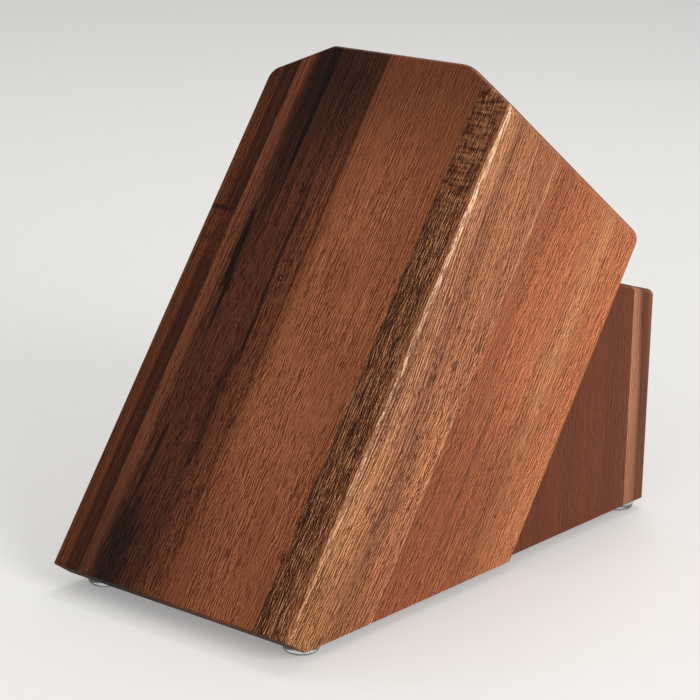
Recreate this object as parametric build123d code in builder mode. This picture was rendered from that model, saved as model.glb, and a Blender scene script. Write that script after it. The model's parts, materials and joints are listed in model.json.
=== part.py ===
"""Empty knife block: glued acacia boards that lean forward over a lower front tier.

Long blades drop from the slot face into the gaps between the core boards, and short blades into the
gaps between the tier's dividers. The whole stands on four clear round feet.
Lengths are in millimetres and angles in degrees. +Z is up, the front looks along -Y, left is -X, and
the origin lies on the floor in the middle of the footprint.
"""

import os
from math import cos, radians, sin, tan

from build123d import *

os.makedirs("parts", exist_ok=True)

# Leaning block
block_width = 131.0
block_depth = 126.4  # square to the rear face
rear_length = 252.2  # up the rear face, from its lower edge to the slot face
lean_angle = 35.0  # from upright, towards the front
rear_edge_height = 6.9  # the rear face's lower edge above the base
shoulder_width = 28.7  # clipped top corners, across
shoulder_drop = 15.8  # clipped top corners, down the slope
left_corner_round = 20.0  # where the left clipped corner meets the slot face, sanded soft
right_corner_round = 5.0  # the same on the right, left crisper
side_corner_round = 7.0  # where the clipped corners meet the sides
rear_ease = 2.0  # rounding of the rear face's edges
front_ease = 3.8  # rounding of the front face's edges, down to the flat that the tier meets
lower_ease = 0.6  # the rear face's lower edge, left almost sharp

# Boards of the leaning block
left_cheek = 18.5
right_cheek = 15.0
cheek_seam = 45.8  # glue line between a cheek's two staves, from the rear face
rear_panel = 16.0
rear_seam = 4.5  # glue line between the rear panel's staves, right of the middle
front_panel = 16.0
front_seam = -6.0  # glue line between the front panel's staves

# Slots of the leaning block
slot_width = 4.6
slot_ease = 0.7  # rounding of every slot's mouth
chef_slot = 50.0  # for a broad blade, measured along the blade's height
santoku_slot = 46.0
centre_spacer = 10.5  # spacer strips, in the direction of the block's depth
inner_spacer = 18.5
outer_spacer = 14.8

# Front tier
tier_base = 110.2  # from the block's front edge at the base to the tier's front
tier_inset = 3.8  # behind the block's sides
tier_height = 99.6  # its front edge above the base
tier_slope = 16.2  # its top falls towards the front
tier_ease = 3.0
tier_front_board = 18.0
tier_front_seam = 8.0  # glue line between the front board's staves
tier_slot_width = 4.6
tier_slot_count = 6

# Feet
foot_diameter = 16.0
foot_height = 5.0
foot_taper = 8.0
foot_round = 2.0
foot_inset = 11.0  # rear feet, from the block's sides and from the base's rear edge
tier_foot_inset = 9.2  # front feet, from the tier's sides and front

lean = radians(lean_angle)
half_width = block_width / 2
side_length = rear_length - shoulder_drop
flat_half = half_width - shoulder_width

# Stations along Y. The eased lower edge stands a little short of its sharp corner.
rear_edge_recess = lower_ease * (sin(lean) + cos(lean) - 1)
base_recess = rear_edge_height / tan(lean)
block_base_reach = block_depth / cos(lean) - rear_edge_height * tan(lean)
rear_y = (block_base_reach + tier_base + rear_edge_recess) / 2
base_rear_y = rear_y - base_recess
block_front_y = rear_y - block_base_reach
tier_front_y = block_front_y - tier_base
tier_board_y = tier_front_y + tier_front_board

# Heights
base_z = foot_height
tier_front_z = base_z + tier_height
tier_rear_z = tier_front_z + tier_base * tan(radians(tier_slope))

# The rear plane: X across, Y up the slope, Z into the block's depth
rear_plane = Plane(
    origin=(0, rear_y, base_z + rear_edge_height),
    x_dir=(1, 0, 0),
    z_dir=(0, -cos(lean), -sin(lean)),
)
depth_axis = Axis(rear_plane.origin, rear_plane.z_dir)
base_plane = Plane.XY.offset(base_z)


def write_piece(piece, label):
    """Names a finished piece and writes it to its own file."""
    piece.label = label
    export_step(piece, f"parts/{label}.step")


# Slot columns from left to right, each listed from its rear. The slots without a depth of their own share
# what the rest of their column leaves. A strip at both ends gives the rear feet solid wood to stick to.
SLOT = "slot"
SPACER = "spacer"
centre_run = [(SLOT, chef_slot), (SPACER, centre_spacer), (SLOT, None)]
inner_run = [(SLOT, santoku_slot), (SPACER, inner_spacer), (SLOT, None)]
outer_run = [(SPACER, outer_spacer), (SLOT, None)] * 2 + [(SPACER, outer_spacer)]
columns = {
    "left_outer": outer_run,
    "left_inner": inner_run,
    "centre": centre_run,
    "right_inner": inner_run,
    "right_outer": outer_run,
}

# Core boards stand between the columns
inner_left = -half_width + left_cheek
inner_right = half_width - right_cheek
core_rear = rear_panel
core_front = block_depth - front_panel
core_count = len(columns) - 1
core_board = (inner_right - inner_left - len(columns) * slot_width) / core_count
column_pitch = core_board + slot_width

# Every slot and spacer of the columns: label, left, right, depth at its rear and at its front
slots = []
spacers = []
for index, (column, run) in enumerate(columns.items()):
    column_left = inner_left + index * column_pitch
    set_depths = [depth for kind, depth in run if depth is not None]
    shared_depth = (core_front - core_rear - sum(set_depths)) / (len(run) - len(set_depths))
    start = core_rear
    for kind, depth in run:
        end = start + (shared_depth if depth is None else depth)
        group = slots if kind == SLOT else spacers
        number = sum(step[0].startswith(column) for step in group) + 1
        group.append((f"{column}_{kind}_{number}", column_left, column_left + slot_width, start, end))
        start = end

# Across the slope: X across, Y back out of the depth, Z up the slope
slot_plane = Plane(
    origin=(0, rear_y, base_z + rear_edge_height),
    x_dir=(1, 0, 0),
    z_dir=(0, -sin(lean), cos(lean)),
)

# Outer form of the leaning block with its slots, which its boards share
with BuildPart() as block_form:
    with BuildSketch(rear_plane) as block_outline:
        with BuildLine():
            Polyline(
                (half_width, 0),
                (half_width, side_length),
                (flat_half, rear_length),
                (-flat_half, rear_length),
                (-half_width, side_length),
                (-half_width, 0),
                close=True,
            )
        make_face()
        fillet(block_outline.vertices().group_by(Axis.Y)[1], radius=side_corner_round)
        top_left = block_outline.vertices().group_by(Axis.Y)[-1].sort_by(Axis.X)[0]
        fillet(top_left, radius=left_corner_round)
        top_right = block_outline.vertices().group_by(Axis.Y)[-1].sort_by(Axis.X)[-1]
        fillet(top_right, radius=right_corner_round)
    extrude(amount=block_depth)
    split(bisect_by=base_plane, keep=Keep.TOP)
    base_edges = block_form.faces().sort_by(Axis.Z)[0].edges()
    front_face = block_form.faces().sort_by(depth_axis)[-1]
    fillet(front_face.edges() - base_edges, radius=front_ease)
    rear_edges = block_form.faces().sort_by(depth_axis)[0].edges().sort_by(Axis.Z)
    fillet(rear_edges[1:], radius=rear_ease)
    lower_edge = block_form.faces().sort_by(depth_axis)[0].edges().sort_by(Axis.Z)[0]
    fillet(lower_edge, radius=lower_ease)
    with BuildSketch(slot_plane):
        for label, x_low, x_high, depth_low, depth_high in slots:
            with Locations(((x_low + x_high) / 2, -(depth_low + depth_high) / 2)):
                Rectangle(x_high - x_low, depth_high - depth_low)
    extrude(amount=2 * rear_length, both=True, mode=Mode.SUBTRACT)
    pierced = block_form.faces().filter_by(lambda face: face.inner_wires() and face.normal_at().Z > 0)
    mouths = [edge for face in pierced for wire in face.inner_wires() for edge in wire.edges()]
    fillet(mouths, radius=slot_ease)


def block_board(label, x_low, x_high, depth_low, depth_high):
    """A board of the leaning block, between two places across it and two depths from its rear."""
    with BuildPart() as board:
        add(block_form.part)
        with BuildSketch(rear_plane.offset(depth_low)):
            with Locations(((x_low + x_high) / 2, rear_length / 2)):
                Rectangle(x_high - x_low, 2 * rear_length)
        extrude(amount=depth_high - depth_low, mode=Mode.INTERSECT)
    write_piece(board.part, label)


# Cheeks and panels: the panels lie between the cheeks
block_board("left_cheek_rear_stave", -half_width, inner_left, 0, cheek_seam)
block_board("left_cheek_front_stave", -half_width, inner_left, cheek_seam, block_depth)
block_board("right_cheek_rear_stave", inner_right, half_width, 0, cheek_seam)
block_board("right_cheek_front_stave", inner_right, half_width, cheek_seam, block_depth)
block_board("rear_panel_left_stave", inner_left, rear_seam, 0, core_rear)
block_board("rear_panel_right_stave", rear_seam, inner_right, 0, core_rear)
block_board("front_panel_left_stave", inner_left, front_seam, core_front, block_depth)
block_board("front_panel_right_stave", front_seam, inner_right, core_front, block_depth)

# Core boards and spacer strips
for index in range(core_count):
    board_left = inner_left + slot_width + index * column_pitch
    block_board(f"core_board_{index + 1}", board_left, board_left + core_board, core_rear, core_front)

for label, x_low, x_high, depth_low, depth_high in spacers:
    block_board(label, x_low, x_high, depth_low, depth_high)

# Sides and dividers of the tier, with a short slot between each two
tier_half = half_width - tier_inset
tier_upright = (2 * tier_half - tier_slot_count * tier_slot_width) / (tier_slot_count + 1)
tier_pitch = tier_upright + tier_slot_width

# Outer form of the tier with its slots, cut off along the block's front face
with BuildPart() as tier_form:
    with BuildSketch(Plane.YZ.offset(-tier_half)):
        with BuildLine():
            Polyline(
                (tier_front_y, base_z),
                (tier_front_y, tier_front_z),
                (block_front_y, tier_rear_z),
                (block_front_y, base_z),
                close=True,
            )
        make_face()
    extrude(amount=2 * tier_half)
    split(bisect_by=rear_plane.offset(block_depth), keep=Keep.TOP)
    front_edges = tier_form.faces().sort_by(Axis.Y)[0].edges().sort_by(Axis.Z)[1:]
    top_edges = tier_form.faces().sort_by(Axis.Z)[-1].edges().sort_by(Axis.Y)[:-1]
    fillet(front_edges + (top_edges - front_edges), radius=tier_ease)
    with BuildSketch(base_plane):
        for index in range(tier_slot_count):
            slot_x = -tier_half + tier_upright + tier_slot_width / 2 + index * tier_pitch
            with Locations((slot_x, (tier_board_y + block_front_y) / 2)):
                Rectangle(tier_slot_width, block_front_y - tier_board_y)
    extrude(amount=tier_rear_z, mode=Mode.SUBTRACT)
    inside = tier_half - tier_upright / 2
    walls = tier_form.faces().filter_by(Axis.X).filter_by_position(Axis.X, -inside, inside)
    ends = tier_form.faces().filter_by(Axis.Y).filter_by_position(
        Axis.Y, tier_board_y - slot_ease, tier_board_y + slot_ease
    )
    tier_mouths = [face.edges().sort_by(Axis.Z)[-1] for face in walls + ends]
    fillet(tier_mouths, radius=slot_ease)


def tier_board(label, x_low, x_high, y_low, y_high):
    """A board of the tier, between two places across it and two along it."""
    with BuildPart() as board:
        add(tier_form.part)
        with BuildSketch(base_plane):
            with Locations(((x_low + x_high) / 2, (y_low + y_high) / 2)):
                Rectangle(x_high - x_low, y_high - y_low)
        extrude(amount=tier_rear_z, mode=Mode.INTERSECT)
    write_piece(board.part, label)


tier_board("tier_front_left_stave", -tier_half, tier_front_seam, tier_front_y, tier_board_y)
tier_board("tier_front_right_stave", tier_front_seam, tier_half, tier_front_y, tier_board_y)

dividers = [f"tier_divider_{number}" for number in range(1, tier_slot_count)]

for index, label in enumerate(["tier_left_side", *dividers, "tier_right_side"]):
    upright_left = -tier_half + index * tier_pitch
    tier_board(label, upright_left, upright_left + tier_upright, tier_board_y, block_front_y)


def foot(label, x, y):
    """A clear bumper, stuck under the base and rounded where it meets the floor."""
    with BuildPart() as bumper:
        with BuildSketch(Plane((x, y, base_z))):
            Circle(foot_diameter / 2)
        extrude(amount=-foot_height, taper=foot_taper)
        fillet(bumper.edges().sort_by(Axis.Z)[0], radius=foot_round)
    write_piece(bumper.part, label)


rear_foot_x = half_width - foot_inset
rear_foot_y = base_rear_y - foot_inset
front_foot_x = tier_half - tier_foot_inset
front_foot_y = tier_front_y + tier_foot_inset

for side, sign in (("left", -1), ("right", 1)):
    foot(f"foot_rear_{side}", sign * rear_foot_x, rear_foot_y)
    foot(f"foot_front_{side}", sign * front_foot_x, front_foot_y)
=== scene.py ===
# %% [markdown]
# # An empty knife block in oiled acacia
# The block is a stack of glued boards. Its tall part leans over a lower front tier, the blades go into
# the gaps between the boards, and four clear feet lift it off the worktop. Every board is a solid of its
# own, so this lesson keeps those solids and gives each one the grain of the plank it was sawn from.

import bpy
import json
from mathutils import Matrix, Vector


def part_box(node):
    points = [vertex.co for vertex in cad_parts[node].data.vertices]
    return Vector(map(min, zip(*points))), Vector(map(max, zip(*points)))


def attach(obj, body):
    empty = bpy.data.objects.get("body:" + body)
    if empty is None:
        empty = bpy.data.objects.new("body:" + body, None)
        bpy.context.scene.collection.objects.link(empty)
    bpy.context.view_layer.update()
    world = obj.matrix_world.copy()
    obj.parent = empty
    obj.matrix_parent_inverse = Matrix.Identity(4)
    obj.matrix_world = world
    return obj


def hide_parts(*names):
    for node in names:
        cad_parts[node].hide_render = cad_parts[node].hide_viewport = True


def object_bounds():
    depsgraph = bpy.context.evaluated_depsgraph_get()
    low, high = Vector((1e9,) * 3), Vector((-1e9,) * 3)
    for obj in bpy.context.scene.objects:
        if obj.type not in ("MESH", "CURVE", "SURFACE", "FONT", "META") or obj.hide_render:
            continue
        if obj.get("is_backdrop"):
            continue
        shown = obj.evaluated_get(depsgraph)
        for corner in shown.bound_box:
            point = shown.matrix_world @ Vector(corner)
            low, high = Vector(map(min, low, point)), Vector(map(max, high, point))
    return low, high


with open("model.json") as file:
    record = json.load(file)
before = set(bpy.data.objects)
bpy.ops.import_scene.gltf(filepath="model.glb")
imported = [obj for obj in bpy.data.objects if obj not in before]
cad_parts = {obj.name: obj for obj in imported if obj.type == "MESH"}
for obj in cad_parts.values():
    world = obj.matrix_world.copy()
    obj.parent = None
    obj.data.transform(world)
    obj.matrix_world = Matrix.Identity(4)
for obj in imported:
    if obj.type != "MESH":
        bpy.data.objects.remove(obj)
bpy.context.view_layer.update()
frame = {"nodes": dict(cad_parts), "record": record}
boards = frame["nodes"]

# %% Modules and names used throughout
import json
from math import cos, pi, radians, sin

import bpy
from mathutils import Matrix, Vector

scene = bpy.context.scene
scene.view_settings.view_transform = "Standard"
print("view transform:", scene.view_settings.view_transform)

# %% [markdown]
# ## The camera
# The photograph looks down on the rear left corner from a little over a metre away. Its place came from
# fitting the block's corners, so it is written here as plain numbers: how far round, how high, and a
# slight roll. A look-at constraint could aim it, but three axes in a matrix say the same without one.

# %% Camera
photo_azimuth = radians(219.12)
photo_elevation = radians(15.655)
photo_roll = radians(1.195)
photo_lens = 122.74
photo_place = Vector((-0.62257, 0.78087, 0.37038))

back = Vector((
    sin(photo_azimuth) * cos(photo_elevation),
    -cos(photo_azimuth) * cos(photo_elevation),
    sin(photo_elevation),
))
level_right = Vector((0, 0, 1)).cross(back).normalized()
level_up = back.cross(level_right)
right = level_right * cos(photo_roll) + level_up * sin(photo_roll)
up = level_up * cos(photo_roll) - level_right * sin(photo_roll)

camera_data = bpy.data.cameras.new("photo_camera")
camera_data.lens = photo_lens
camera_data.sensor_width = 36.0
camera_data.clip_start = 0.01
camera_data.clip_end = 50.0
camera = bpy.data.objects.new("photo_camera", camera_data)
scene.collection.objects.link(camera)
turned = Matrix((right, up, back)).transposed().to_4x4()
camera.matrix_world = Matrix.Translation(photo_place) @ turned
scene.camera = camera
print("camera at", tuple(round(c, 3) for c in camera.location))

# %% [markdown]
# ## Writing materials as short sentences
# Wood needs a few dozen nodes a board, and most of them are the same few kinds. These helpers make one
# node each and hand back its output, so a material reads like arithmetic instead of a list of links.

# %% Nodes and links
def wire(tree, socket, value):
    """Links a socket to another node's output, or sets its value."""
    if isinstance(value, bpy.types.NodeSocket):
        tree.links.new(value, socket)
    else:
        socket.default_value = value


def place(tree, kind, inputs, output=0, **options):
    """Makes one shader node and returns one of its outputs."""
    made = tree.nodes.new("ShaderNode" + kind)
    for option, value in options.items():
        setattr(made, option, value)
    for key, value in inputs.items():
        wire(tree, made.inputs[key], value)
    return made.outputs[output]


print("nodes can be placed and wired")

# %% Arithmetic
def calc(tree, operation, first, second=0.0):
    return place(tree, "Math", {0: first, 1: second}, operation=operation)


def times(tree, first, *others):
    """The product of several numbers."""
    for other in others:
        first = calc(tree, "MULTIPLY", first, other)
    return first


def combine(tree, operation, first, second):
    return place(tree, "VectorMath", {0: first, 1: second}, operation=operation)


def ease(tree, value, low, high, start=0.0, end=1.0):
    """A soft step from start to end while value goes from low to high."""
    inputs = {"Value": value, "From Min": low, "From Max": high, "To Min": start, "To Max": end}
    return place(tree, "MapRange", inputs, interpolation_type="SMOOTHSTEP")


def drop(tree, value, low, high):
    """A soft step from 1 down to 0."""
    return ease(tree, value, low, high, 1.0, 0.0)


print("arithmetic ready")

# %% Noise and colour
def noise(tree, at, detail=2.0, roughness=0.5, output="Fac"):
    inputs = {"Vector": at, "Scale": 1.0, "Detail": detail, "Roughness": roughness}
    return place(tree, "TexNoise", inputs, output)


def split(tree, at):
    """The three parts of a vector."""
    made = tree.nodes.new("ShaderNodeSeparateXYZ")
    wire(tree, made.inputs[0], at)
    return made.outputs[0], made.outputs[1], made.outputs[2]


def blend(tree, share, first, second, how="MIX"):
    return place(tree, "Mix", {0: share, 6: first, 7: second}, 2, data_type="RGBA", blend_type=how)


def paint(red, green, blue):
    """A colour as a screen shows it, 0 to 255, turned into the linear values that shaders use."""
    levels = [level / 255 for level in (red, green, blue)]
    return (*[v / 12.92 if v <= 0.04045 else ((v + 0.055) / 1.055) ** 2.4 for v in levels], 1.0)


def bands(tree, at, stops):
    """Colours along a measure: stops are (measure, colour), in rising order."""
    low, high = stops[0][0], stops[-1][0]
    share = place(tree, "MapRange", {"Value": at, "From Min": low, "From Max": high})
    made = tree.nodes.new("ShaderNodeValToRGB")
    wire(tree, made.inputs[0], share)
    elements = made.color_ramp.elements
    while len(elements) < len(stops):
        elements.new(0.5)
    for element, (measure, colour) in zip(elements, stops):
        element.position = (measure - low) / (high - low)
        element.color = colour
    return made.outputs[0]


print("noise and colour ready")

# %% [markdown]
# ## How a plank grew
# A sawn face shows straight lines only where the tree grew straight. Here the grain wanders slowly along
# the plank, and where the wood is figured it also ripples. One group bends the measuring vector for every
# board, so that its bands, lines and pores all follow the same bends. A texture with its own distortion
# would be shorter to write, but then each pattern would bend another way.

# %% Measures for patterns
def new_group(name, inputs, outputs):
    """An empty shader group with its sockets, and its input and output nodes."""
    tree = bpy.data.node_groups.new(name, "ShaderNodeTree")
    for title, kind in inputs:
        tree.interface.new_socket(title, in_out="INPUT", socket_type="NodeSocket" + kind)
    for title, kind in outputs:
        tree.interface.new_socket(title, in_out="OUTPUT", socket_type="NodeSocket" + kind)
    return tree, tree.nodes.new("NodeGroupInput").outputs, tree.nodes.new("NodeGroupOutput").inputs


def scaled(tree, at, across, through, along):
    """Measures in millimetres divided by the size that a pattern has in each direction."""
    return combine(tree, "MULTIPLY", at, (1 / across, 1 / through, 1 / along))


BOARDS_APART = (31.7, 17.3, 401.0)


def shifted(tree, at, seed):
    """The same pattern, read from another place for each board."""
    step = place(tree, "VectorMath", {0: BOARDS_APART, "Scale": seed}, operation="SCALE")
    return combine(tree, "ADD", at, step)


def swing(tree, at, reach):
    """A noise colour turned into a push to either side."""
    centred = combine(tree, "SUBTRACT", at, (0.5, 0.5, 0.5))
    return combine(tree, "MULTIPLY", centred, reach)


print("measures for patterns ready")

# %% Group: the run of the grain
drift_reach = (11.0, 11.0, 0.0)
ripple_reach = (2.4, 2.4, 0.0)
grain_run, given, result = new_group(
    "grain_run",
    [("Vector", "Vector"), ("Seed", "Float"), ("Drift", "Float"), ("Wave", "Float")],
    [("Vector", "Vector")],
)
start = shifted(grain_run, given["Vector"], given["Seed"])
slow = noise(grain_run, scaled(grain_run, start, 45, 45, 150), 2.0, 0.5, "Color")
ripple = noise(grain_run, scaled(grain_run, start, 16, 16, 12), 1.0, 0.5, "Color")
slow_push = combine(grain_run, "MULTIPLY", swing(grain_run, slow, drift_reach), given["Drift"])
ripple_push = combine(grain_run, "MULTIPLY", swing(grain_run, ripple, ripple_reach), given["Wave"])
pushed = combine(grain_run, "ADD", given["Vector"], slow_push)
wire(grain_run, result["Vector"], combine(grain_run, "ADD", pushed, ripple_push))
print("group", grain_run.name, "has", len(grain_run.nodes), "nodes")

# %% [markdown]
# ## Growth lines, hairs, flecks and pores
# Oiled acacia shows four things at once: broad growth bands round the pith, the middle of the trunk; close
# lines; hair-fine fibres, long in straight grain and short where it ripples; and open pores, which stay as
# dark dashes under the oil. Each is a noise, stretched to its own size in millimetres. So small, a plain
# noise looks cloudy. The fibres are therefore a noise less its own neighbours on either side, which leaves
# separate marks, and they are fainter in some patches than in others. On an end face the same noises show
# as arcs and dots, and the wood is darker there because it drinks more oil.

# %% Marks of a given size
def swell(tree, at, across, through, along, detail=1.0):
    """A noise of the given size in millimetres, stretched to swing between -0.5 and 0.5."""
    plain = noise(tree, scaled(tree, at, across, through, along), detail, 0.6)
    return ease(tree, plain, 0.3, 0.7, -0.5, 0.5)


NEIGHBOUR_SHARE = 0.36
CRISP_SWING = 0.22


def crisp(tree, at, step, across, through, along):
    """Like swell, but less a share of the same noise one step to either side, which leaves fine marks."""
    points = (at, combine(tree, "SUBTRACT", at, step), combine(tree, "ADD", at, step))
    noises = [noise(tree, scaled(tree, point, across, through, along), 0.0) for point in points]
    here, left, right = [calc(tree, "SUBTRACT", plain, 0.5) for plain in noises]
    around = times(tree, calc(tree, "ADD", left, right), NEIGHBOUR_SHARE)
    return ease(tree, calc(tree, "SUBTRACT", here, around), -CRISP_SWING, CRISP_SWING, -0.5, 0.5)


TURN_RADIUS = 45.0  # where the way round the pith is measured, in millimetres


def round_pith(tree, at, pith):
    """Measures from the middle of the trunk: out to a growth ring, round it, and along the trunk."""
    across, through, along = split(tree, combine(tree, "SUBTRACT", at, pith))
    flat = place(tree, "CombineXYZ", {0: across, 1: through})
    ring = place(tree, "VectorMath", {0: flat}, 1, operation="LENGTH")
    turn = times(tree, calc(tree, "ARCTAN2", through, across), TURN_RADIUS)
    return place(tree, "CombineXYZ", {0: ring, 1: turn, 2: along})


print("swells, crisp marks and growth rings ready")

# %% Group: acacia grain, its patterns
acacia_grain, given, result = new_group(
    "acacia_grain",
    [("Vector", "Vector"), ("Pith", "Vector"), ("Seed", "Float"), ("Colour", "Color"), ("Wave", "Float"),
     ("End", "Float"), ("Aside", "Float"), ("Edge", "Float"),
     ("Lines", "Float"), ("Hairs", "Float"), ("Flecks", "Float"), ("Pores", "Float")],
    [("Colour", "Color"), ("Roughness", "Float"), ("Normal", "Vector")],
)
tree = acacia_grain
rings = shifted(tree, round_pith(tree, given["Vector"], given["Pith"]), given["Seed"])
fixed = shifted(tree, given["Vector"], given["Seed"])


def by_wave(straight, rippled):
    """Long marks in straight grain, short ones where it ripples."""
    return place(acacia_grain, "Mix", {0: given["Wave"], 2: straight, 3: rippled}, data_type="FLOAT")


broad = swell(tree, rings, 4.0, 30, 260, 2.0)
arcs = swell(tree, rings, 1.3, 24, 400)
lines = by_wave(swell(tree, fixed, 1.1, 1.3, 95), swell(tree, fixed, 0.9, 1.2, 14))
rear_step = 0.5  # from a mark to its neighbours, across a rear face
side_step = 0.7  # the same, through a side face
step_across = ease(tree, given["Aside"], 0.0, 1.0, rear_step, 0.0)
step_through = ease(tree, given["Aside"], 0.0, 1.0, 0.0, side_step)
step = place(tree, "CombineXYZ", {0: step_across, 1: step_through})
hairs = by_wave(crisp(tree, fixed, step, 0.62, 0.8, 70), crisp(tree, fixed, step, 0.62, 0.8, 9))
dashes = crisp(tree, fixed, step, 0.60, 0.8, 7.0)
strokes = crisp(tree, fixed, step, 0.62, 0.8, 2.2)
flecks = crisp(tree, fixed, step, 0.62, 0.8, 0.65)
lively = ease(tree, noise(tree, scaled(tree, fixed, 8, 8, 45)), 0.36, 0.64, 0.55, 1.35)
pores = ease(tree, noise(tree, scaled(tree, fixed, 0.5, 0.8, 5.0), 1.0), 0.56, 0.66)
print("the patterns take", len(tree.nodes), "nodes")

# %% Group: acacia grain, its colour
layers = [(broad, 0.14, "Lines"), (lines, 0.22, "Lines"), (hairs, 0.80, "Hairs"),
          (dashes, 0.50, "Flecks"), (strokes, 0.45, "Flecks"), (flecks, 0.45, "Flecks")]
side_share = times(tree, ease(tree, given["End"], 0.0, 1.0, 1.0, 0.45), lively)
tone = 0.5
for pattern, weight, strength in layers:
    tone = calc(tree, "ADD", tone, times(tree, pattern, weight, given[strength], side_share))
ringed = calc(tree, "ADD", times(tree, broad, 0.35), times(tree, arcs, 0.40))
tone = calc(tree, "ADD", tone, times(tree, ringed, given["End"]))

oil_soaked = (0.60, 0.53, 0.49, 1.0)
darkest = (0.34, 0.27, 0.24, 1.0)
lightest = (1.64, 1.70, 1.70, 1.0)
pale_wear_and_highlight_tint = (1.75, 1.85, 1.95, 1.0)
soaked = blend(tree, 1.0, given["Colour"], oil_soaked, "MULTIPLY")
base = blend(tree, given["End"], given["Colour"], soaked)
dark = blend(tree, 1.0, base, darkest, "MULTIPLY")
light = blend(tree, 1.0, base, lightest, "MULTIPLY")
toned = blend(tree, tone, dark, light)
pore_share = times(tree, pores, given["Pores"])
filled = blend(tree, pore_share, toned, dark)
# Real wear and a painted highlight: the outer edges turn pale.
wear_and_highlight_colour = blend(tree, 1.0, given["Colour"], pale_wear_and_highlight_tint, "MULTIPLY")
wear_and_highlight_colour = blend(tree, 0.45, wear_and_highlight_colour, paint(202, 152, 120))
wire(tree, result["Colour"], blend(tree, given["Edge"], filled, wear_and_highlight_colour))
print(len(layers), "layers of grain coloured")

# %% Group: acacia grain, its gloss and relief
rough = calc(tree, "ADD", times(tree, hairs, 0.10), 0.50)
for cause, change in ((given["End"], 0.15), (given["Edge"], -0.08), (pore_share, 0.16)):
    rough = calc(tree, "ADD", rough, times(tree, cause, change))
wire(tree, result["Roughness"], rough)
height = calc(tree, "SUBTRACT", times(tree, hairs, 0.5), pore_share)
bump = {"Height": height, "Strength": 0.20, "Distance": 0.0001}
wire(tree, result["Normal"], place(tree, "Bump", bump))
print("group", tree.name, "has", len(tree.nodes), "nodes")

# %% [markdown]
# ## Measuring on the boards
# A board's pattern is placed by tape measure: across the block from its far side, into its depth from the
# rear face, and down the grain from the top, all in millimetres. A Mapping node turns object coordinates
# into those measures. The tier stands upright, so it has a tape of its own, from its front face.

# %% Tapes
lean = radians(35)
tape_inset = 1.0  # the rounding hides the first millimetre at the far side
corners = [vertex.co for board in boards.values() for vertex in board.data.vertices]
far_side = 1000 * max(point.x for point in corners) - tape_inset
rear_face = 1000 * max(point.y * cos(lean) + point.z * sin(lean) for point in corners)
slot_face = 1000 * max(point.z * cos(lean) - point.y * sin(lean) for point in corners)
tier_front = -1000 * min(point.y for point in corners)
tier_top = 110.0  # a round height a little above the tier

LEANING = {
    "Scale": (-1000, -1000, -1000), "Rotation": (-lean, 0, 0), "Location": (far_side, rear_face, slot_face),
}
UPRIGHT = {"Scale": (-1000, 1000, -1000), "Location": (far_side, tier_front, tier_top)}
print("rear face", round(rear_face, 2), "and slot face", round(slot_face, 2), "mm from the origin")

# %% [markdown]
# ## Worn edges, painted highlights and end grain
# Hands and cloths rub the oil off the rounded outer edges, so they go pale, and the same paleness is also a
# painted highlight on the roundings, strongest along the top edges. A point is on an edge where it lies close
# to two outer faces at once, so the middle one of its three distances says how near it is. A Bevel node finds
# edges too, but it also finds the hair-thin ones between glued boards.

# %% Outer edges
cheek = [vertex.co for vertex in boards["left_cheek_front_stave"].data.vertices]
block_half = 1000 * max(point.x for point in corners)
block_depth = rear_face - 1000 * min(point.y * cos(lean) + point.z * sin(lean) for point in cheek)
clip_start = 36.8  # half the width of the flat top
clip_fall = 15.8 / 28.7  # how far a clipped corner comes down, for its width
tier_half = 1000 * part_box("tier_right_side")[1].x
tier_lip = 5.4  # the tier's front edge, down its tape
tier_fall = 0.2905  # how its top comes down towards the front


def middle_of(tree, first, second, third):
    """The middle one of three numbers."""
    low = calc(tree, "MINIMUM", first, second)
    high = calc(tree, "MAXIMUM", first, second)
    return calc(tree, "MAXIMUM", low, calc(tree, "MINIMUM", high, third))


def outer_edge(tree, at, tape):
    """1 along the outer edges of the leaning block, or of the tier: worn patches, and a painted highlight
    along the top edges.
    """
    across, through, down = split(tree, at)
    aside = calc(tree, "ABSOLUTE", calc(tree, "SUBTRACT", across, far_side))
    if tape is LEANING:
        from_side = calc(tree, "SUBTRACT", block_half, aside)
        from_face = calc(tree, "MINIMUM", through, calc(tree, "SUBTRACT", block_depth, through))
        clipped = calc(tree, "MAXIMUM", calc(tree, "SUBTRACT", aside, clip_start), 0.0)
        from_top = calc(tree, "SUBTRACT", down, times(tree, clipped, clip_fall))
    else:
        from_side = calc(tree, "SUBTRACT", tier_half, aside)
        from_face = through
        lip = calc(tree, "SUBTRACT", tier_lip, times(tree, through, tier_fall))
        from_top = calc(tree, "SUBTRACT", down, lip)
    near = drop(tree, middle_of(tree, from_side, from_face, from_top), 0.4, 1.8)
    patches = ease(tree, noise(tree, scaled(tree, at, 4, 4, 11), 2.0), 0.35, 0.65, 0.0, 0.25)
    # Painted highlight: the top edges get extra paleness on top of the worn patches.
    wear_and_top_highlight = calc(tree, "ADD", patches, ease(tree, from_top, 0.5, 3.0, 0.45, 0.0))
    return times(tree, near, wear_and_top_highlight)


print("worn edges ready:", outer_edge.__name__)

# %% [markdown]
# ## One finish for every board
# The block is oiled, not varnished, so it is satin, and its end grain is duller still. Each board could have
# a material of its own from start to end. One function is shorter: it measures with a tape, bends the
# grain, and finds end grain and edges, so a board brings only its broad colours and strengths.

# %% Oiled acacia
OIL_SHEEN = 0.10


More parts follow.
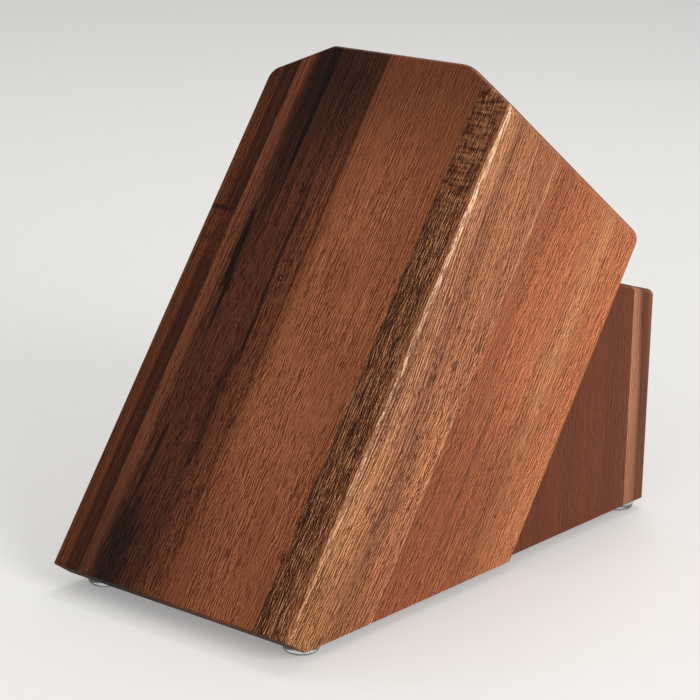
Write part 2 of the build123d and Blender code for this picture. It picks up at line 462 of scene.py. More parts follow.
def oiled_acacia(name, tape, colour, pith, seed, bend=None, calm=None, drift=1.0, wave=0.1,
                 lines=1.0, hairs=1.0, flecks=1.0, pores=0.5):
    """The finish of one board: colour lays out its broad bands, bend leads its grain to one side, and
    calm says where its marks are fainter.
    """
    made = bpy.data.materials.new(name)
    made.use_nodes = True
    tree = made.node_tree
    at = place(tree, "Mapping", {"Vector": place(tree, "TexCoord", {}, "Object"), **tape})
    rippled = wave(tree, at) if callable(wave) else wave
    run = tree.nodes.new("ShaderNodeGroup")
    run.node_tree = grain_run
    bent = bend(tree, at) if bend else at
    for key, value in {"Vector": bent, "Seed": seed, "Drift": drift, "Wave": rippled}.items():
        wire(tree, run.inputs[key], value)
    run = run.outputs[0]

    along = (0, -sin(lean), cos(lean)) if tape is LEANING else (0, 0, 1)
    normal = place(tree, "NewGeometry", {}, "Normal")
    facing = place(tree, "VectorMath", {0: normal, 1: along}, "Value", operation="DOT_PRODUCT")
    end = ease(tree, calc(tree, "ABSOLUTE", facing), 0.5, 0.9)
    aside = ease(tree, calc(tree, "ABSOLUTE", split(tree, normal)[0]), 0.5, 0.9)

    grain = tree.nodes.new("ShaderNodeGroup")
    grain.node_tree = acacia_grain
    strengths = {"Lines": lines, "Hairs": hairs, "Flecks": flecks, "Pores": pores}
    if calm:
        share = calm(tree, at)
        strengths = {key: times(tree, share, value) for key, value in strengths.items()}
    inputs = {
        "Vector": run, "Pith": (*pith, 0.0), "Seed": seed, "Colour": colour(tree, run, at), "Wave": rippled,
        "End": end, "Aside": aside, "Edge": outer_edge(tree, at, tape), **strengths,
    }
    for key, value in inputs.items():
        wire(tree, grain.inputs[key], value)
    shader = tree.nodes["Principled BSDF"]
    wire(tree, shader.inputs["Base Color"], grain.outputs["Colour"])
    wire(tree, shader.inputs["Roughness"], grain.outputs["Roughness"])
    wire(tree, shader.inputs["Normal"], grain.outputs["Normal"])
    shader.inputs["Specular IOR Level"].default_value = OIL_SHEEN
    return made


print("finish ready:", oiled_acacia.__name__)

# %% Dressing a solid
dressed = []


def dress(node, material):
    """Gives a solid its finish."""
    slots = boards[node].data.materials
    slots.clear()
    slots.append(material)
    dressed.append(node)


print(len(boards) - len(dressed), "solids to dress")

# %% [markdown]
# ## Marks in the wood
# What makes one plank unlike the next is its marks: black streaks in the heartwood, pin knots, specks. A
# painted picture could hold them, but a mark that is a distance from a line or a point stays sharp at any
# size and runs on into the wood.

# %% Long marks
def nearby(tree, at, reach=1.6):
    """The tape with a small wobble of its own, so that a mark stays where it is put."""
    wobble = noise(tree, scaled(tree, at, 9, 9, 26), 2.0, 0.6, "Color")
    return combine(tree, "ADD", at, swing(tree, wobble, (reach, reach, 0.0)))


SOFT_SIDES = 1.6  # a streak's sides fade, so it starts out wider than it looks


def streak(tree, at, top, bottom, centres, widths, fade=12.0, fray=0.7, measure=0):
    """A long mark down the grain: 1 along its middle, torn into fibres at its edges and ends.

    Its centre and its half width are given at its top and at its bottom.
    """
    parts = split(tree, at)
    down = parts[2]
    span = {"Value": down, "From Min": top, "From Max": bottom}
    centre = place(tree, "MapRange", {**span, "To Min": centres[0], "To Max": centres[1]})
    first, last = [SOFT_SIDES * half for half in widths]
    width = place(tree, "MapRange", {**span, "To Min": first, "To Max": last})
    side = calc(tree, "ABSOLUTE", calc(tree, "SUBTRACT", parts[measure], centre))
    body = drop(tree, calc(tree, "DIVIDE", side, width), 0.0, 1.0)
    begin = ease(tree, down, top - fade, top + fade)
    end = drop(tree, down, bottom - fade, bottom + fade)
    body = times(tree, body, times(tree, begin, end))
    fibres = times(tree, swell(tree, at, 0.8, 0.8, 14), fray)
    torn = calc(tree, "ADD", body, times(tree, fibres, ease(tree, body, 0.0, 0.15)))
    return ease(tree, torn, 0.25, 0.8)


print("long marks ready:", streak.__name__)

# %% Round marks and stains
def spot(tree, at, first, second, radius, measure=0, ring=None):
    """A round mark on a face: a speck, or a ring of the given thickness."""
    parts = split(tree, at)
    aside = calc(tree, "SUBTRACT", parts[measure], first)
    below = calc(tree, "SUBTRACT", parts[2], second)
    offset = place(tree, "CombineXYZ", {0: aside, 1: below})
    away = place(tree, "VectorMath", {0: offset}, 1, operation="LENGTH")
    if ring:
        away = calc(tree, "ABSOLUTE", calc(tree, "SUBTRACT", away, radius))
    return drop(tree, away, 0.0, ring or radius)


def stain(tree, colour, mark, strength, shade):
    """Takes a colour towards a shade where a mark is."""
    return blend(tree, times(tree, mark, strength), colour, shade)


BLACK_HEART = paint(20, 11, 9)
print("round marks and stains ready:", spot.__name__, stain.__name__)

# %% [markdown]
# ## The rear panel
# This is the face the photograph shows. Its left board is a wide, even red-brown plank, straight-grained
# above and rippled below. Its right board has a strip of tan sapwood, then dark heartwood with black
# streaks that run out down the slope, and one pin knot.

# %% Rear panel, left board
def ripple_below(tree, at):
    """Straight grain in the upper half of the board, rippled grain below."""
    return ease(tree, split(tree, at)[2], 95, 175, 0.05, 0.85)


def calm_above(tree, at):
    """Fainter marks towards the top."""
    return ease(tree, split(tree, at)[2], 10, 110, 0.62, 1.0)


def rear_left_colour(tree, run, at):
    across, _, down = split(tree, run)
    stops = [
        (58, paint(147, 88, 59)), (70, paint(150, 90, 60)), (84, paint(153, 92, 62)),
        (97, paint(149, 89, 60)), (104, paint(146, 87, 58)), (112, paint(138, 81, 53)),
    ]
    colour = bands(tree, across, stops)
    patches = swell(tree, at, 22, 22, 38)
    colour = stain(tree, colour, ease(tree, patches, 0.0, 0.5), 0.30, paint(132, 74, 49))
    # Painted shade: the board is darker towards its top.
    colour = stain(tree, colour, drop(tree, down, 0, 80), 0.95, paint(122, 70, 45))
    colour = stain(tree, colour, drop(tree, down, 8, 45), 0.40, paint(95, 54, 35))
    seam = drop(tree, split(tree, at)[0], 59, 67)
    colour = stain(tree, colour, seam, 0.80, paint(100, 57, 38))
    lower = times(tree, ease(tree, down, 165, 225), ease(tree, across, 66, 92, 0.75, 0.25))
    return stain(tree, colour, lower, 1.0, paint(118, 66, 44))


dress("rear_panel_left_stave", oiled_acacia(
    "rear_left_plank", LEANING, rear_left_colour, (10.0, -60.0), 1.0, calm=calm_above,
    drift=0.5, wave=ripple_below, lines=0.7, hairs=1.0, flecks=1.05, pores=0.75,
))
print("rear panel, left board dressed")

# %% Rear panel, right board
HEART_STREAKS = [  # top and bottom, centre and half width at each, fade, fraying, strength
    (-20, 88, (27.0, 29.0), (7.5, 3.0), 24, 0.30, 0.50),
    (-20, 66, (31.2, 32.6), (3.4, 0.9), 14, 0.30, 0.95),
    (55, 92, (32.6, 33.4), (0.8, 0.5), 10, 0.60, 0.70),
    (20, 80, (22.0, 23.5), (4.0, 2.5), 20, 0.60, 0.25),
    (80, 120, (23.6, 25.2), (2.0, 2.6), 12, 0.55, 0.92),
    (112, 136, (25.6, 26.6), (1.6, 0.8), 8, 0.50, 0.85),
    (70, 112, (47.8, 47.6), (0.8, 1.2), 8, 0.50, 0.80),
    (110, 146, (47.8, 49.0), (1.3, 0.9), 8, 0.60, 0.85),
    (142, 200, (45.0, 46.0), (4.0, 3.0), 18, 0.95, 0.48),
    (180, 216, (27.5, 26.4), (0.9, 0.9), 8, 0.40, 0.85),
    (214, 320, (29.0, 29.0), (8.0, 8.0), 24, 0.50, 0.68),
    (60, 150, (59.6, 59.4), (0.9, 0.9), 22, 0.50, 0.25),
    (30, 104, (53.0, 52.6), (0.6, 0.6), 16, 0.60, 0.50),
]
PIN_KNOT = (52.6, 108.7)


def ripple_near_middle(tree, at):
    """Rippled below like its neighbour, but straight in the sapwood and the blackest heart."""
    return times(tree, ripple_below(tree, at), ease(tree, split(tree, at)[0], 30, 44, 0.1, 1.0))


def calm_sapwood(tree, at):
    """Fainter marks in the sapwood, and towards the top."""
    return times(tree, calm_above(tree, at), ease(tree, split(tree, at)[0], 19, 25, 0.45, 1.0))


def rear_right_colour(tree, run, at):
    near = nearby(tree, at, 1.0)
    across, _, down = split(tree, near)
    stops = [
        (12, paint(110, 63, 42)), (18.8, paint(110, 63, 42)), (21.5, paint(84, 46, 30)),
        (26, paint(78, 43, 28)), (34, paint(83, 46, 31)), (40, paint(86, 47, 32)), (46, paint(83, 46, 31)),
        (51, paint(97, 53, 36)), (57, paint(107, 59, 39)), (61, paint(92, 50, 34)),
    ]
    colour = bands(tree, across, stops)
    upper = times(tree, drop(tree, down, 12, 82), ease(tree, across, 19, 24))
    colour = stain(tree, colour, upper, 0.78, paint(44, 24, 17))
    below = times(tree, ease(tree, down, 180, 240), drop(tree, across, 40, 52))
    colour = stain(tree, colour, below, 0.45, paint(40, 22, 16))
    for top, bottom, centres, widths, fade, fray, strength in HEART_STREAKS:
        mark = streak(tree, near, top, bottom, centres, widths, fade, fray)
        colour = stain(tree, colour, mark, strength, BLACK_HEART)
    colour = stain(tree, colour, spot(tree, at, *PIN_KNOT, 2.2), 0.5, paint(132, 80, 52))
    return stain(tree, colour, spot(tree, at, *PIN_KNOT, 1.1, ring=0.9), 0.9, BLACK_HEART)


dress("rear_panel_right_stave", oiled_acacia(
    "rear_right_plank", LEANING, rear_right_colour, (-30.0, -60.0), 2.0, calm=calm_sapwood,
    drift=0.5, wave=ripple_near_middle, lines=1.8, hairs=1.8, flecks=1.8, pores=1.0,
))
print("rear panel, right board dressed, with", len(HEART_STREAKS), "black streaks and a pin knot")

# %% [markdown]
# ## The cheeks
# Each cheek is two boards glued edge to edge. The near one turns a golden face to the side, with dark
# lines that drift across it, and a dark, cross-grained edge to the rear: two looks of one board, so its
# material changes over in the rounding between them.

# %% Near cheek, rear board: its grain
def near_rear_bend(tree, at):
    """The grain drifts away from the rear edge on its way down, and back again near the base."""
    down = split(tree, at)[2]
    upper = calc(tree, "MAXIMUM", calc(tree, "SUBTRACT", 14.0, times(tree, down, 0.1)), 0.0)
    lower = ease(tree, down, 160, 270, 0.0, 6.0)
    return combine(tree, "ADD", at, place(tree, "CombineXYZ", {1: calc(tree, "ADD", upper, lower)}))


def ripple_near_glue(tree, at):
    """Straight, lined grain by the rear edge, and rippled grain towards the glue line."""
    return ease(tree, split(tree, at)[1], 16, 36, 0.05, 0.50)


print("grain of the near cheek's rear board:", near_rear_bend.__name__, ripple_near_glue.__name__)

# %% Near cheek, rear board: its golden side
GOLD_LINES = [  # top and bottom, centre from the rear face as the grain bends, half width, strength
    (105, 205, 1.6, 0.40, 0.70),
    (90, 290, 3.5, 0.46, 0.80),
    (110, 195, 5.2, 0.36, 0.65),
    (70, 215, 7.0, 0.42, 0.70),
    (120, 280, 10.4, 0.45, 0.75),
    (95, 255, 13.6, 0.38, 0.65),
    (60, 200, 17.5, 0.45, 0.60),
    (70, 280, 20.5, 0.42, 0.60),
    (10, 200, 23.8, 0.50, 0.55),
    (20, 260, 28.0, 0.45, 0.45),
    (60, 280, 33.5, 0.45, 0.40),
]


def gold_bands(tree, run):
    """The side of the board: golden, with a purple-brown band and dark lines."""
    stops = [
        (0, paint(180, 126, 92)), (6, paint(178, 123, 90)), (10, paint(186, 129, 92)),
        (14, paint(180, 122, 88)), (18, paint(160, 105, 76)), (21.5, paint(146, 93, 68)),
        (25, paint(158, 102, 74)), (31, paint(172, 113, 80)), (40, paint(168, 107, 75)),
        (50, paint(162, 103, 72)), (62, paint(164, 103, 71)),
    ]
    colour = bands(tree, split(tree, run)[1], stops)
    for top, bottom, centre, width, strength in GOLD_LINES:
        line = streak(tree, run, top, bottom, (centre, centre), (width, width), 24.0, 0.6, 1)
        colour = stain(tree, colour, line, strength, paint(92, 54, 38))
    return colour


def gold_patches(tree, colour, at):
    """Lighter and darker places on the golden side, which don't follow its lines."""
    through, down = split(tree, at)[1:]
    shaded = times(tree, drop(tree, through, 3, 11), ease(tree, down, 55, 100), drop(tree, down, 140, 190))
    colour = stain(tree, colour, shaded, 0.45, paint(120, 78, 54))
    smooth = times(tree, drop(tree, through, 7, 13), drop(tree, down, 45, 85))
    colour = stain(tree, colour, smooth, 0.7, paint(190, 132, 97))
    widening = calc(tree, "SUBTRACT", through, times(tree, down, 0.09))
    wedge = times(tree, drop(tree, widening, -11, -6), ease(tree, down, 165, 205))
    colour = stain(tree, colour, wedge, 0.50, paint(180, 127, 82))
    warm = times(tree, ease(tree, through, 8, 12), drop(tree, through, 20, 26), ease(tree, down, 150, 175))
    colour = stain(tree, colour, warm, 0.40, paint(190, 130, 86))
    dusk = streak(tree, at, 150, 330, (28, 27), (6, 7), 20.0, 0.3, 1)
    colour = stain(tree, colour, dusk, 0.45, paint(122, 78, 52))
    colour = stain(tree, colour, ease(tree, down, 206, 226), 0.42, paint(136, 89, 56))
    glow = times(tree, ease(tree, down, 100, 150), ease(tree, through, 34, 41), drop(tree, down, 160, 195))
    return stain(tree, colour, glow, 0.5, paint(196, 126, 86))


def glue_line(tree, colour, at):
    """The pale line where the front board is glued on, fainter in places."""
    through, down = split(tree, at)[1:]
    gaps = ease(tree, noise(tree, scaled(tree, at, 30, 30, 34), 1.0), 0.36, 0.52, 0.5, 1.0)
    glue = times(tree, ease(tree, through, 42.6, 45.0), gaps, ease(tree, down, 40, 95, 1.0, 0.6))
    return stain(tree, colour, glue, 0.55, paint(222, 168, 126))


print("golden side, with", len(GOLD_LINES), "dark lines and a glue line")

# %% Near cheek, rear board: its mottled edge
def mottled_edge(tree, at):
    """The rear edge of the same board: dark and short-grained, with rungs across it near the top."""
    near = nearby(tree, at)
    down = split(tree, at)[2]
    rungs = times(tree, swell(tree, near, 9, 13, 1.9, 2.0), ease(tree, down, 50, 80, 1.05, 0.12))
    parts = [
        (crisp(tree, near, (rear_step, 0, 0), 0.62, 0.62, 0.62), 0.85),
        (crisp(tree, near, (rear_step, 0, 0), 0.6, 0.6, 4.0), 1.15),
        (swell(tree, near, 1.1, 1.1, 45), 0.55),
        (swell(tree, near, 3.0, 12, 14), 0.50),
    ]
    mottle = 0.0
    for pattern, weight in parts:
        mottle = calc(tree, "ADD", mottle, times(tree, pattern, weight))
    mottle = times(tree, mottle, ease(tree, down, 45, 85, 0.6, 1.1))
    mottle = calc(tree, "ADD", mottle, rungs)
    stops = [
        (-0.9, paint(30, 17, 12)), (-0.4, paint(76, 44, 30)), (0.0, paint(115, 71, 48)),
        (0.4, paint(143, 93, 64)), (0.9, paint(172, 119, 84)),
    ]
    begin = drop(tree, split(tree, at)[0], 111.5, 116.5)
    return stain(tree, bands(tree, mottle, stops), begin, 0.45, paint(66, 39, 26))


print("mottled edge ready:", mottled_edge.__name__)

# %% Near cheek, rear board: both looks
def near_rear_colour(tree, run, at):
    across, through, down = split(tree, at)
    ragged = calc(tree, "ADD", across, swell(tree, at, 4, 4, 9, 2.0))
    colour = mottled_edge(tree, at)
    colour = stain(tree, colour, ease(tree, ragged, 125.4, 127.6), 0.75, paint(146, 90, 57))
    to_gold = calc(tree, "MAXIMUM", ease(tree, ragged, 127.6, 128.8), ease(tree, through, 8, 17))
    gold = glue_line(tree, gold_patches(tree, gold_bands(tree, run), at), at)
    colour = blend(tree, to_gold, colour, gold)
    # Painted highlight: a pale stripe down the rounded corner between the rear face and the side, fainter
    # lower down.
    from_side = calc(tree, "SUBTRACT", far_side + block_half, across)
    off_middle = calc(tree, "ABSOLUTE", calc(tree, "SUBTRACT", through, from_side))
    painted_corner_highlight = times(
        tree, drop(tree, off_middle, 0.2, 2.0), ease(tree, down, 75, 130, 1.0, 0.5),
        drop(tree, through, 1.0, 2.6), ease(tree, down, 180, 225, 1.0, 0.3),
    )
    return stain(tree, colour, painted_corner_highlight, 0.75, paint(228, 188, 154))


dress("left_cheek_rear_stave", oiled_acacia(
    "near_cheek_rear_plank", LEANING, near_rear_colour, (60.0, -60.0), 3.0, near_rear_bend, calm_above,
    drift=0.4, wave=ripple_near_glue, lines=1.4, hairs=1.5, flecks=1.5, pores=0.9,
))
print("near cheek, rear board dressed")

# %% Near cheek, front board
def near_front_colour(tree, run, at):
    through, down = split(tree, run)[1:]
    stops = [
        (45, paint(160, 95, 65)), (56, paint(158, 93, 63)), (66, paint(176, 106, 73)),
        (80, paint(181, 110, 76)), (90, paint(183, 117, 82)), (99, paint(192, 129, 91)),
        (106, paint(181, 113, 77)), (114, paint(187, 114, 78)), (121, paint(189, 113, 77)),
        (126, paint(190, 117, 81)),
    ]
    colour = bands(tree, through, stops)
    lower = times(tree, ease(tree, down, 85, 160), drop(tree, through, 88, 122))
    colour = stain(tree, colour, lower, 0.85, paint(144, 82, 53))
    sunny = times(tree, ease(tree, down, 100, 150), ease(tree, through, 104, 116))
    colour = stain(tree, colour, sunny, 0.5, paint(190, 126, 88))
    clouds = swell(tree, at, 14, 14, 30)
    colour = stain(tree, colour, ease(tree, clouds, 0.0, 0.5), 0.12, paint(150, 84, 56))
    umber = paint(70, 38, 26)
    line = streak(tree, nearby(tree, at), 120, 205, (69, 69), (1.2, 1.0), 25.0, 0.7, 1)
    colour = stain(tree, colour, line, 0.35, umber)
    colour = stain(tree, colour, spot(tree, at, 48.4, 117, 2.2, 1), 0.5, umber)
    colour = stain(tree, colour, spot(tree, at, 53.6, 53.5, 1.8, 1), 0.35, umber)
    return stain(tree, colour, spot(tree, at, 100.5, 161, 1.3, 1), 1.0, BLACK_HEART)


dress("left_cheek_front_stave", oiled_acacia(
    "near_cheek_front_plank", LEANING, near_front_colour, (60.0, 0.0), 4.0,
    drift=0.5, wave=0.4, lines=0.7, hairs=0.95, flecks=1.0, pores=0.55,
))
print("near cheek, front board dressed")

# %% Far cheek, rear board
def far_rear_colour(tree, run, at):
    near = nearby(tree, at, 0.8)
    across, through, down = split(tree, near)
    stops = [
        (-2, paint(92, 50, 28)), (6.0, paint(93, 50, 28)), (7.4, paint(58, 30, 19)), (9.5, paint(68, 36, 23)),
        (12.0, paint(60, 31, 20)), (14, paint(56, 29, 19)),
    ]
    colour = bands(tree, across, stops)
    knotty = times(tree, ease(tree, down, 80, 84), drop(tree, down, 104, 110))
    rungs = ease(tree, swell(tree, near, 12, 12, 1.8, 2.0), 0.0, 0.5)
    colour = stain(tree, colour, knotty, 0.4, paint(100, 52, 32))
    colour = stain(tree, colour, times(tree, knotty, rungs), 0.5, paint(40, 20, 14))
    colour = stain(tree, colour, drop(tree, down, 15, 48), 0.45, paint(44, 23, 15))
    from_rung = calc(tree, "ABSOLUTE", calc(tree, "SUBTRACT", down, 83.2))
    rung = times(tree, drop(tree, from_rung, 0.4, 1.6), drop(tree, through, 2, 6))
    return stain(tree, colour, rung, 0.75, paint(34, 17, 12))


dress("right_cheek_rear_stave", oiled_acacia(
    "far_cheek_rear_plank", LEANING, far_rear_colour, (-50.0, -40.0), 5.0,
    drift=0.4, lines=0.9, hairs=0.9, flecks=0.9,
))
print("far cheek, rear board dressed")

# %% [markdown]
# ## The tier
# Its near side is one plain, cool brown board, and the front board beside it was sawn across a colour
# change: tan towards the block, brown towards the front, with a painted highlight along its rounded front
# edge.

# %% Tier
def tier_side_colour(tree, run, at):
    broad = noise(tree, scaled(tree, run, 14, 14, 300), 2.0, 0.5)
    stops = [(0.3, paint(103, 55, 37)), (0.5, paint(109, 59, 40)), (0.7, paint(114, 62, 42))]
    return bands(tree, broad, stops)


def tier_front_colour(tree, run, at):
    depth, down = split(tree, nearby(tree, at, 1.2))[1:]
    depth = calc(tree, "SUBTRACT", depth, ease(tree, down, 8, 60, 2.0, 0.0))
    # Painted highlight: the first stops are lighter just behind the rounded front edge.
    stops = [
        (-2, paint(150, 98, 72)), (2, paint(130, 82, 60)), (4, paint(106, 61, 43)), (8.5, paint(104, 60, 43)),
        (11.2, paint(158, 107, 80)), (14, paint(172, 119, 91)), (19, paint(178, 124, 96)),
    ]
    return stain(tree, bands(tree, depth, stops), ease(tree, down, 50, 100), 0.35, paint(126, 80, 59))


for index, node in enumerate(("tier_left_side", "tier_right_side")):
    pith = (-40.0 + 200 * index, -60.0)
    dress(node, oiled_acacia(
        node + "_wood", UPRIGHT, tier_side_colour, pith, 6.0 + index,
        lines=0.3, hairs=0.3, flecks=0.4, pores=0.2,
    ))
for index, node in enumerate(("tier_front_left_stave", "tier_front_right_stave")):
    pith = (20.0 + 80 * index, -70.0)
    dress(node, oiled_acacia(
        node + "_wood", UPRIGHT, tier_front_colour, pith, 8.0 + index,
        lines=0.35, hairs=0.3, flecks=0.35, pores=0.15,
    ))
print("tier sides and front dressed")

# %% [markdown]
# ## Boards that the photograph hides
# The core boards, spacers, front panel and tier dividers come from the same stock. Their broad bands come
# from a noise stretched along the grain, coloured from one of three mixes: red, golden and dark.

# %% Plain boards
MIXES = {
    "red_acacia": [paint(112, 64, 44), paint(138, 81, 55), paint(152, 92, 62), paint(164, 102, 71)],
    "golden_acacia": [paint(142, 86, 59), paint(166, 105, 73), paint(178, 116, 82), paint(190, 130, 94)],
    "dark_acacia": [paint(58, 33, 24), paint(80, 46, 33), paint(100, 58, 41), paint(118, 71, 51)],
}


def plain_colour(mix, pith, seed):
    """Broad bands of one mix of acacia, which follow the growth rings."""
    def colour(tree, run, at):
        rings = shifted(tree, round_pith(tree, run, (*pith, 0.0)), seed)
        broad = noise(tree, scaled(tree, rings, 12, 60, 520), 2.0, 0.55)
        return bands(tree, broad, [(0.30 + 0.13 * step, tone) for step, tone in enumerate(MIXES[mix])])
    return colour


slot_of = {part["node"]: part["material_slot"] for part in frame["record"]["subparts"]}
plain_boards = [node for node in sorted(boards) if node not in dressed and slot_of[node] != "foot"]
for index, node in enumerate(plain_boards):
    low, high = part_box(node)
    middle = far_side - 500 * (low.x + high.x)
    pith = (middle + (-1) ** index * 45, -55.0 - 9 * (index % 4))
    tape = UPRIGHT if node.startswith("tier") else LEANING
    seed = 11.0 + index
    colour = plain_colour(slot_of[node], pith, seed)
    dress(node, oiled_acacia(
        node + "_wood", tape, colour, pith, seed, wave=0.25, lines=1.1, hairs=0.9, flecks=0.9,
    ))
print(len(plain_boards), "plain boards dressed")

# %% [markdown]
# ## The feet
# Four clear rubber bumpers are stuck under the base: flat discs that narrow a little towards the floor and
# are rounded where they meet it. A lathe would do for one. Here Geometry Nodes draw the profile once, turn
# it round and set the same bumper on four points, so that one change of size reaches all four.

# %% Bumper tree, its profile
bumpers = bpy.data.node_groups.new("clear_bumpers", "GeometryNodeTree")
sizes = [("Diameter", 0.016), ("Height", 0.005), ("Draft", 0.0007), ("Rounding", 0.002)]
bumpers.interface.new_socket("Geometry", in_out="INPUT", socket_type="NodeSocketGeometry")
for title, size in sizes:
    bumpers.interface.new_socket(title, in_out="INPUT", socket_type="NodeSocketFloat").default_value = size
bumpers.interface.new_socket("Material", in_out="INPUT", socket_type="NodeSocketMaterial")
bumpers.interface.new_socket("Geometry", in_out="OUTPUT", socket_type="NodeSocketGeometry")
given = bumpers.nodes.new("NodeGroupInput").outputs


def grow(kind, inputs, output=0, **options):
    """Makes one node of the bumper tree and returns one of its outputs."""
    made = bumpers.nodes.new(kind)
    for option, value in options.items():
        setattr(made, option, value)
    for key, value in inputs.items():
        wire(bumpers, made.inputs[key], value)
    return made.outputs[output]


def work_out(operation, first, second=0.0):
    return grow("ShaderNodeMath", {0: first, 1: second}, operation=operation)


def corner(reach, level):
    return grow("ShaderNodeCombineXYZ", {0: reach, 1: level})


top_radius = work_out("DIVIDE", given["Diameter"], 2.0)
floor_radius = work_out("SUBTRACT", top_radius, given["Draft"])
profile = grow(
    "GeometryNodeCurvePrimitiveQuadrilateral",
    {"Point 1": corner(0.0, 0.0), "Point 2": corner(floor_radius, 0.0),
     "Point 3": corner(top_radius, given["Height"]), "Point 4": corner(0.0, given["Height"])},
    mode="POINTS",
)
profile = grow("GeometryNodeSetSplineCyclic", {"Geometry": profile, "Cyclic": False})
index = grow("GeometryNodeInputIndex", {})
at_floor = grow("FunctionNodeCompare", {2: index, 3: 1}, data_type="INT", operation="EQUAL")
nearly_sharp = 0.00002
radii = {"Switch": at_floor, "False": nearly_sharp, "True": given["Rounding"]}
rounding = grow("GeometryNodeSwitch", radii, input_type="FLOAT")
profile = grow("GeometryNodeFilletCurve", {"Curve": profile, "Radius": rounding, "Count": 10}, mode="POLY")
print("profile drawn with", len(bumpers.nodes), "nodes")

# %% Bumper tree, turned and set on four points
points_round = 65
points_along = 61
sheet = grow("GeometryNodeMeshGrid", {
    "Size X": 1.0, "Size Y": 1.0, "Vertices X": points_round, "Vertices Y": points_along,
})
spread = grow("ShaderNodeSeparateXYZ", {0: grow("GeometryNodeInputPosition", {})}).node.outputs
angle = work_out("MULTIPLY", work_out("ADD", spread[0], 0.5), 2 * pi)
step = work_out("ADD", spread[1], 0.5)
drawn = grow("GeometryNodeSampleCurve", {"Curves": profile, "Factor": step}, "Position", mode="FACTOR")
reach = grow("ShaderNodeSeparateXYZ", {0: drawn}).node.outputs
turned = grow("ShaderNodeCombineXYZ", {
    0: work_out("MULTIPLY", reach[0], work_out("COSINE", angle)),
    1: work_out("MULTIPLY", reach[0], work_out("SINE", angle)),
    2: reach[1],
})
weld = 0.000005
bumper = grow("GeometryNodeSetPosition", {"Geometry": sheet, "Position": turned})
bumper = grow("GeometryNodeMergeByDistance", {"Geometry": bumper, "Distance": weld})
four = grow("GeometryNodeInstanceOnPoints", {"Points": given["Geometry"], "Instance": bumper})
solid = grow("GeometryNodeRealizeInstances", {"Geometry": four})
solid = grow("GeometryNodeSetMaterial", {"Geometry": solid, "Material": given["Material"]})
wire(bumpers, bumpers.nodes.new("NodeGroupOutput").inputs[0], solid)
print("bumper tree has", len(bumpers.nodes), "nodes")

# %% [markdown]
# ## Clear rubber
# The bumpers are cast from a clear rubber: nearly glass, but hazy, and a little dusty from the worktop.
# Glass alone would look too crisp, so one noise clouds its colour and gloss and a finer one pits its skin.

# %% Clear rubber
clear_rubber = bpy.data.materials.new("clear_rubber")
clear_rubber.use_nodes = True
tree = clear_rubber.node_tree
at = combine(tree, "MULTIPLY", place(tree, "TexCoord", {}, "Object"), (1000, 1000, 1000))
haze = noise(tree, scaled(tree, at, 2.5, 2.5, 2.5), 3.0)
dust = noise(tree, scaled(tree, at, 0.3, 0.3, 0.3), 2.0)
shader = tree.nodes["Principled BSDF"]
wire(tree, shader.inputs["Base Color"], blend(tree, haze, (0.86, 0.90, 0.93, 1), (0.95, 0.97, 0.98, 1)))
wire(tree, shader.inputs["Roughness"], ease(tree, haze, 0.3, 0.7, 0.08, 0.22))
dusty = {"Height": dust, "Strength": 0.15, "Distance": 0.0001}
wire(tree, shader.inputs["Normal"], place(tree, "Bump", dusty))
shader.inputs["Transmission Weight"].default_value = 0.85
shader.inputs["IOR"].default_value = 1.48
print("clear rubber ready")

# %% Feet
foot_nodes = [node for node in sorted(boards) if slot_of[node] == "foot"]
foot_boxes = [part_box(node) for node in foot_nodes]
centres = [((low.x + high.x) / 2, (low.y + high.y) / 2, low.z) for low, high in foot_boxes]
foot_low, foot_high = foot_boxes[0]
points = bpy.data.meshes.new("foot_points")
points.from_pydata(centres, [], [])
planned = bpy.data.objects.new("foot_points", points)
scene.collection.objects.link(planned)
settings = planned.modifiers.new("bumpers", "NODES")
settings.node_group = bumpers
wanted = {"Diameter": foot_high.x - foot_low.x, "Height": foot_high.z - foot_low.z, "Material": clear_rubber}
for socket in bumpers.interface.items_tree:
    if socket.in_out == "INPUT" and socket.name in wanted:
        settings[socket.identifier] = wanted[socket.name]
evaluated = planned.evaluated_get(bpy.context.evaluated_depsgraph_get())
feet_mesh = bpy.data.meshes.new_from_object(evaluated)
bpy.data.objects.remove(planned)
feet_mesh.shade_smooth()
feet_mesh.set_sharp_from_angle(angle=radians(40))
feet = bpy.data.objects.new("clear_feet", feet_mesh)
scene.collection.objects.link(feet)
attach(feet, "root")
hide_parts(*foot_nodes)
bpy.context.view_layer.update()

# %% [markdown]
# ## The floor and the light
# A plain pale floor and three soft lamps: a broad one on the near side, a weaker one behind the camera, and
# one over the front for the views from there. The near side is the bright one in the photograph, and the
# rear face falls off towards the far side. More light would whiten the floor, but the wood too. So the floor
# glows a little, and only where the camera sees it, straight, mirrored, or through something clear.

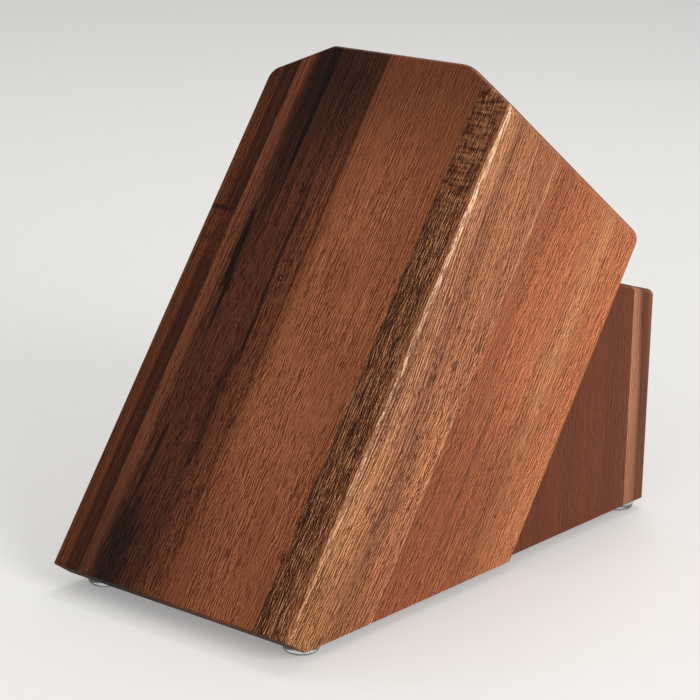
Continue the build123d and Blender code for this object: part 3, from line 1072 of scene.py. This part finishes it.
# %% Floor
floor_mesh = bpy.data.meshes.new("floor")
floor_reach = 8
floor_corners = [(floor_reach * x, floor_reach * y, 0) for x, y in ((-1, -1), (1, -1), (1, 1), (-1, 1))]
floor_mesh.from_pydata(floor_corners, [], [(0, 1, 2, 3)])
floor = bpy.data.objects.new("floor", floor_mesh)
scene.collection.objects.link(floor)
floor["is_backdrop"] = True
pale = bpy.data.materials.new("pale_floor")
pale.use_nodes = True
tree = pale.node_tree
at = place(tree, "TexCoord", {}, "Object")
speckle = noise(tree, combine(tree, "MULTIPLY", at, (60, 60, 60)), 3.0)
shader = tree.nodes["Principled BSDF"]
wire(tree, shader.inputs["Base Color"], blend(tree, speckle, (0.70, 0.70, 0.69, 1), (0.74, 0.74, 0.73, 1)))
shader.inputs["Roughness"].default_value = 0.8
ray = tree.nodes.new("ShaderNodeLightPath").outputs
mirrored = calc(tree, "MAXIMUM", ray["Is Glossy Ray"], ray["Is Transmission Ray"])
seen = calc(tree, "MAXIMUM", ray["Is Camera Ray"], mirrored)
floor_glow = 0.26
glow = place(tree, "Emission", {"Color": (1, 1, 1, 1), "Strength": times(tree, seen, floor_glow)})
both = place(tree, "AddShader", {0: shader.outputs[0], 1: glow})
wire(tree, tree.nodes["Material Output"].inputs["Surface"], both)
floor_mesh.materials.append(pale)
print("floor", tuple(floor.dimensions))

# %% Light
world = bpy.data.worlds.new("studio")
scene.world = world
world.use_nodes = True
sky = world.node_tree.nodes["Background"].inputs
sky["Color"].default_value = (1.0, 0.98, 0.96, 1.0)
sky["Strength"].default_value = 0.38
block_middle = Vector((0, 0, 0.1))


def soft_lamp(name, place_at, size, power, colour):
    """A square lamp that faces the block."""
    data = bpy.data.lights.new(name, "AREA")
    data.shape = "SQUARE"
    data.size = size
    data.energy = power
    data.color = colour
    lamp = bpy.data.objects.new(name, data)
    scene.collection.objects.link(lamp)
    lamp.location = place_at
    lamp.rotation_euler = (block_middle - lamp.location).to_track_quat("-Z", "Y").to_euler()
    return lamp


lamps = [
    soft_lamp("key", (-1.75, 0.40, 0.85), 0.9, 22.0, (1.0, 0.96, 0.90)),
    soft_lamp("fill", (-0.3, 1.7, 1.2), 1.2, 7.0, (1.0, 0.98, 0.95)),
    soft_lamp("rim", (0.3, -0.9, 1.6), 0.8, 7.0, (1.0, 0.98, 0.95)),
]
print("lamps:", [lamp.name for lamp in lamps])

# %% [markdown]
# ## The last measure
# A finish must not change the size of the block, so the box of everything shown is measured and printed.

# %% Sizes
low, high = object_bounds()
print("boxes written, the visual one from", tuple(low), "to", tuple(high))
